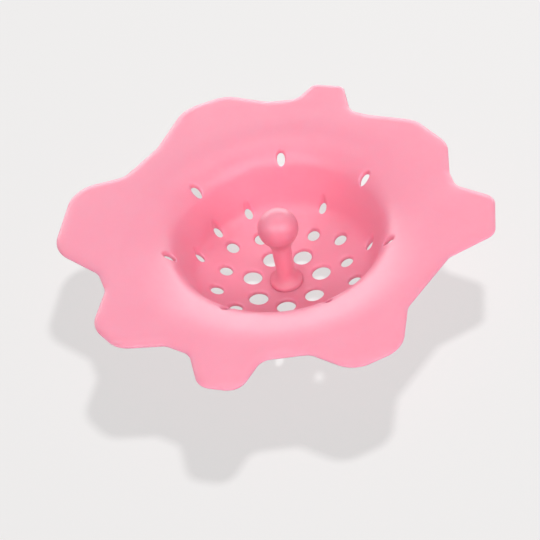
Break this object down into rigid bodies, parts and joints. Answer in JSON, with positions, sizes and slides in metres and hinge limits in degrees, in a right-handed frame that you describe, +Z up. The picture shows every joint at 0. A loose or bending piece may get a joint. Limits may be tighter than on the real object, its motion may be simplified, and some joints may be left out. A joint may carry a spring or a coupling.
{
  "type": "sink strainer",
  "caption": "Soft silicone sink strainer: a perforated bowl with a wide, irregular lobed rim and a ball-topped lift knob in the middle.",
  "frame": {"origin": "on the bowl's axis, in the flat underside of the knob's head, which is the lowest point of the part", "axes": "+Z up along the bowl's axis, out of its mouth; the side that the picture is taken from faces -Y"},
  "size_m": [0.113, 0.1091, 0.0276],
  "materials": {
    "bowl_silicone": "satin",
    "knob_silicone": "satin"
  },
  "bodies": {
    "bowl": {"strainer_bowl": "bowl_silicone"},
    "knob": {"lift_knob": "knob_silicone"}
  },
  "joints": [
    {"name": "knob_turn", "type": "hinge", "parent": "bowl", "child": "knob", "pos_m": [0, 0, 0.00295], "axis": [0, 0, 1], "continuous": true}
  ]
}
